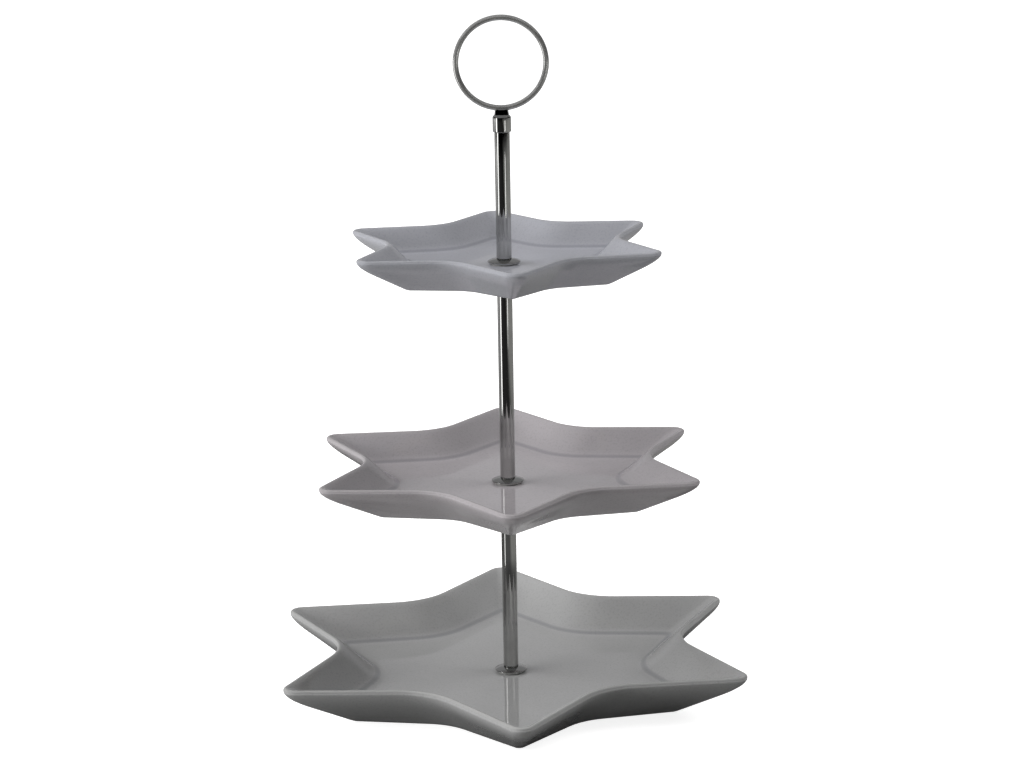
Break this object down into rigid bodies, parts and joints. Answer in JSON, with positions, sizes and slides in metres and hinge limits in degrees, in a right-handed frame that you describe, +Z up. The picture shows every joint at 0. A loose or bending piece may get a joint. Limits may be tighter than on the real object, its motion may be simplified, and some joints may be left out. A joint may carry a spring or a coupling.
{
  "type": "tiered cake stand",
  "caption": "Tiered cake stand: star-shaped glazed porcelain dishes in falling sizes on a chromed screw-together rod with a finger ring on top.",
  "frame": {"origin": "on the rod's axis, in the plane of the bottom plate's foot", "axes": "+Z up along the rod, -Y towards one point of the bottom plate, the ring's plane facing Y"},
  "size_m": [0.2402, 0.2752, 0.3618],
  "materials": {
    "glaze": "gloss",
    "rod_chrome": "polished",
    "screw_steel": "satin",
    "insert_brass": "satin",
    "gasket_rubber": "matte"
  },
  "bodies": {
    "bottom_plate": {"bottom_plate": "glaze"},
    "column": {"base_bolt": "screw_steel", "base_washer": "screw_steel", "bottom_under_gasket": "gasket_rubber", "bottom_gasket": "gasket_rubber", "bottom_washer": "rod_chrome", "lower_rod": "rod_chrome", "lower_rod_foot": "insert_brass", "lower_rod_head": "insert_brass"},
    "middle_plate": {"middle_plate": "glaze", "middle_under_washer": "screw_steel", "middle_under_gasket": "gasket_rubber", "middle_gasket": "gasket_rubber", "middle_washer": "rod_chrome"},
    "middle_stud": {"middle_stud": "screw_steel"},
    "middle_rod": {"middle_rod": "rod_chrome", "middle_rod_foot": "insert_brass", "middle_rod_head": "insert_brass"},
    "top_plate": {"top_plate": "glaze", "top_under_washer": "screw_steel", "top_under_gasket": "gasket_rubber", "top_gasket": "gasket_rubber", "top_washer": "rod_chrome"},
    "upper_stud": {"upper_stud": "screw_steel"},
    "upper_rod": {"upper_rod": "rod_chrome", "upper_rod_foot": "insert_brass", "upper_rod_head": "insert_brass"},
    "handle_stud": {"handle_stud": "screw_steel"},
    "handle": {"handle_ferrule": "rod_chrome", "ring_handle": "rod_chrome"}
  },
  "joints": [
    {"name": "column_turn", "type": "hinge", "parent": "bottom_plate", "child": "column", "pos_m": [0, 0, 0.0087], "axis": [0, 0, 1], "continuous": true},
    {"name": "middle_plate_turn", "type": "hinge", "parent": "column", "child": "middle_plate", "pos_m": [0, 0, 0.1138], "axis": [0, 0, 1], "continuous": true},
    {"name": "middle_rod_rise", "type": "slide", "parent": "column", "child": "middle_stud", "axis": [0, 0, 1], "range_m": [0, 0.0063]},
    {"name": "middle_rod_turn", "type": "hinge", "parent": "middle_stud", "child": "middle_rod", "pos_m": [0, 0, 0.1166], "axis": [0, 0, 1], "range_deg": [0, 3245]},
    {"name": "top_plate_turn", "type": "hinge", "parent": "middle_stud", "child": "top_plate", "pos_m": [0, 0, 0.232], "axis": [0, 0, 1], "continuous": true},
    {"name": "upper_rod_rise", "type": "slide", "parent": "middle_rod", "child": "upper_stud", "axis": [0, 0, 1], "range_m": [0, 0.0063]},
    {"name": "upper_rod_turn", "type": "hinge", "parent": "upper_stud", "child": "upper_rod", "pos_m": [0, 0, 0.2348], "axis": [0, 0, 1], "range_deg": [0, 3245]},
    {"name": "handle_rise", "type": "slide", "parent": "upper_rod", "child": "handle_stud", "axis": [0, 0, 1], "range_m": [0, 0.0063]},
    {"name": "handle_turn", "type": "hinge", "parent": "handle_stud", "child": "handle", "pos_m": [0, 0, 0.3014], "axis": [0, 0, 1], "range_deg": [0, 3245]}
  ],
  "couplings": [
    {"joint": "middle_rod_turn", "follows": "middle_rod_rise", "rad_per_m": 8976},
    {"joint": "upper_rod_turn", "follows": "upper_rod_rise", "rad_per_m": 8976},
    {"joint": "handle_turn", "follows": "handle_rise", "rad_per_m": 8976}
  ]
}
